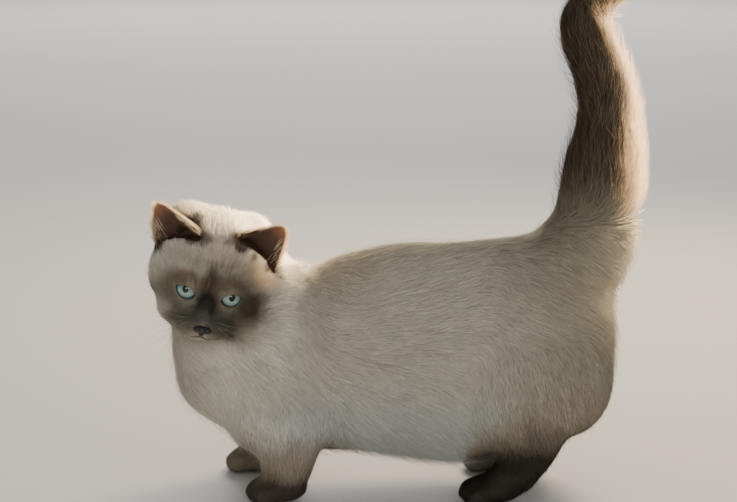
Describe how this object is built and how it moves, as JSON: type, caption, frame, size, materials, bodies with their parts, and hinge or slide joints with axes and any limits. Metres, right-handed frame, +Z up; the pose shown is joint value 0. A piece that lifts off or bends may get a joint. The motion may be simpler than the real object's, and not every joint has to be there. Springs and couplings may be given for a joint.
{
  "type": "munchkin cat",
  "caption": "Short-legged colour-point munchkin cat standing still, tail raised and hooked at the tip, head turned to its left, with eyes, ears and nose as separate solids.",
  "frame": {"origin": "middle of the cat's floor plan, on the floor under its belly; the soles lie at z = 0", "axes": "+Z up; the cat's trunk faces -Y and its left side is +X; its head is turned to face +X"},
  "size_m": [0.1362, 0.3476, 0.3724],
  "materials": {
    "coat_body": "matt, short pale fur",
    "coat_point": "matt, short dark brown fur",
    "iris": "wet gloss",
    "nose_leather": "damp, fine-grained"
  },
  "bodies": {
    "root": {"head": "coat_body", "neck": "coat_body", "nape": "coat_body", "chest": "coat_body", "barrel": "coat_body", "rump": "coat_body", "foreleg_left": "coat_body", "foreleg_right": "coat_body", "hindleg_left": "coat_body", "hindleg_right": "coat_body", "ear_left": "coat_point", "ear_right": "coat_point", "tail_tip": "coat_point", "tail_middle": "coat_point", "tail_base": "coat_point", "forepaw_left": "coat_point", "forepaw_right": "coat_point", "hindpaw_left": "coat_point", "hindpaw_right": "coat_point", "eye_left": "iris", "eye_right": "iris", "nose": "nose_leather"}
  },
  "joints": []
}
